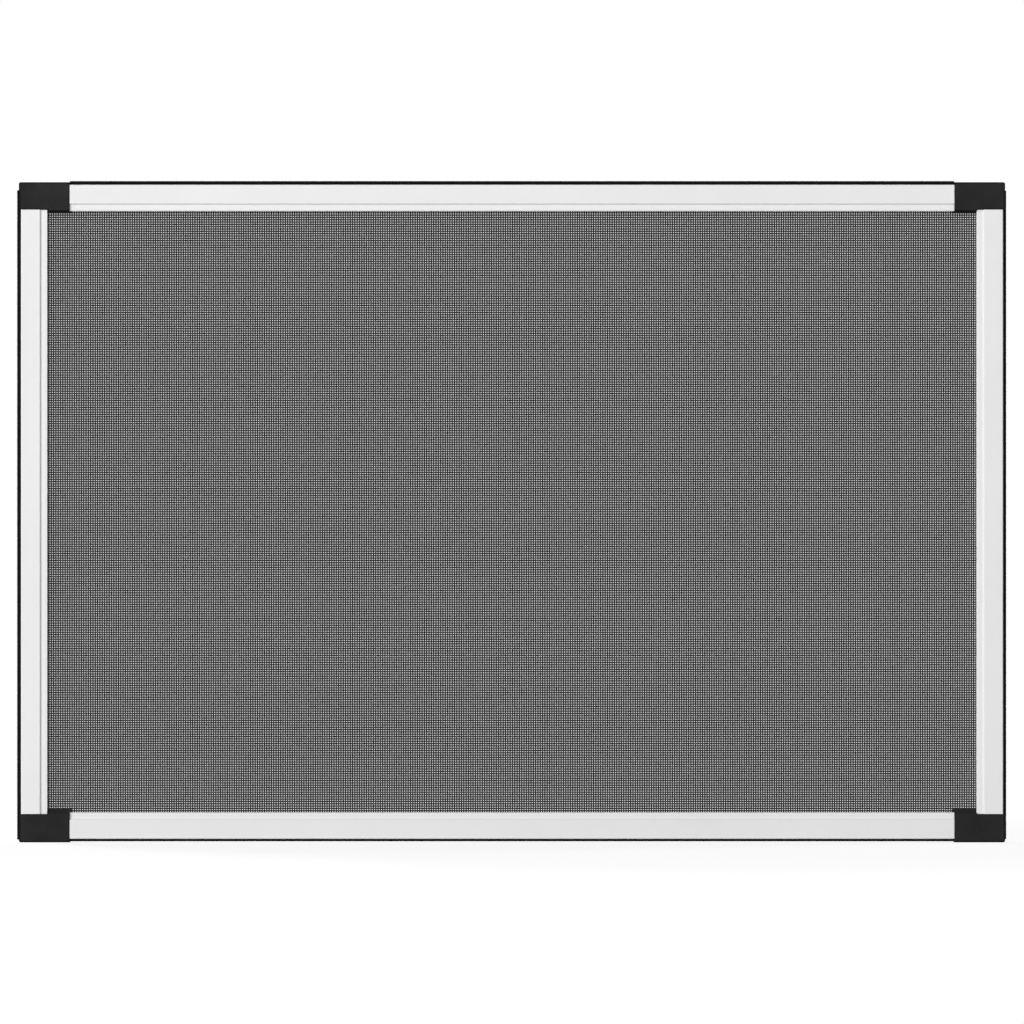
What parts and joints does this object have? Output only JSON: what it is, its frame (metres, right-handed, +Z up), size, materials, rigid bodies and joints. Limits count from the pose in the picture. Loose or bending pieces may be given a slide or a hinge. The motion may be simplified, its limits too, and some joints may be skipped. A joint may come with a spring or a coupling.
{
  "type": "extendable window screen frame",
  "caption": "Extendable insect screen: white aluminium frames with grey mesh and black corner caps slide along each other to fit a window.",
  "frame": {"origin": "middle of the footprint, at the undersides of the corner caps", "axes": "+X along the width, to the right seen from the front; +Y from the front to the back; +Z up"},
  "size_m": [0.75, 0.022, 0.5],
  "materials": {
    "bar_white": "white powder coat on extruded aluminium, satin",
    "cap_black": "moulded, finely grained",
    "mesh_grey": "coated glass fibre yarn, plain weave",
    "spline_rubber": "ribbed cord, matt",
    "brush_black": "dense pile on a woven backing strip"
  },
  "bodies": {
    "front_panel": {"front_bottom_brush": "brush_black", "front_bottom_left_cap": "cap_black", "front_bottom_rail": "bar_white", "front_bottom_right_cap": "cap_black", "front_bottom_spline": "spline_rubber", "front_left_spline": "spline_rubber", "front_left_stile": "bar_white", "front_meeting_brush": "brush_black", "front_mesh": "mesh_grey", "front_right_spline": "spline_rubber", "front_right_stile": "bar_white", "front_side_brush": "brush_black", "front_top_brush": "brush_black", "front_top_left_cap": "cap_black", "front_top_rail": "bar_white", "front_top_right_cap": "cap_black", "front_top_spline": "spline_rubber"},
    "back_panel": {"back_bottom_brush": "brush_black", "back_bottom_left_cap": "cap_black", "back_bottom_rail": "bar_white", "back_bottom_right_cap": "cap_black", "back_bottom_spline": "spline_rubber", "back_left_spline": "spline_rubber", "back_left_stile": "bar_white", "back_meeting_brush": "brush_black", "back_mesh": "mesh_grey", "back_right_spline": "spline_rubber", "back_right_stile": "bar_white", "back_side_brush": "brush_black", "back_top_brush": "brush_black", "back_top_left_cap": "cap_black", "back_top_rail": "bar_white", "back_top_right_cap": "cap_black", "back_top_spline": "spline_rubber"}
  },
  "joints": [
    {"name": "panel_slide", "type": "slide", "parent": "front_panel", "child": "back_panel", "axis": [1, 0, 0], "range_m": [0, 0.68]}
  ]
}
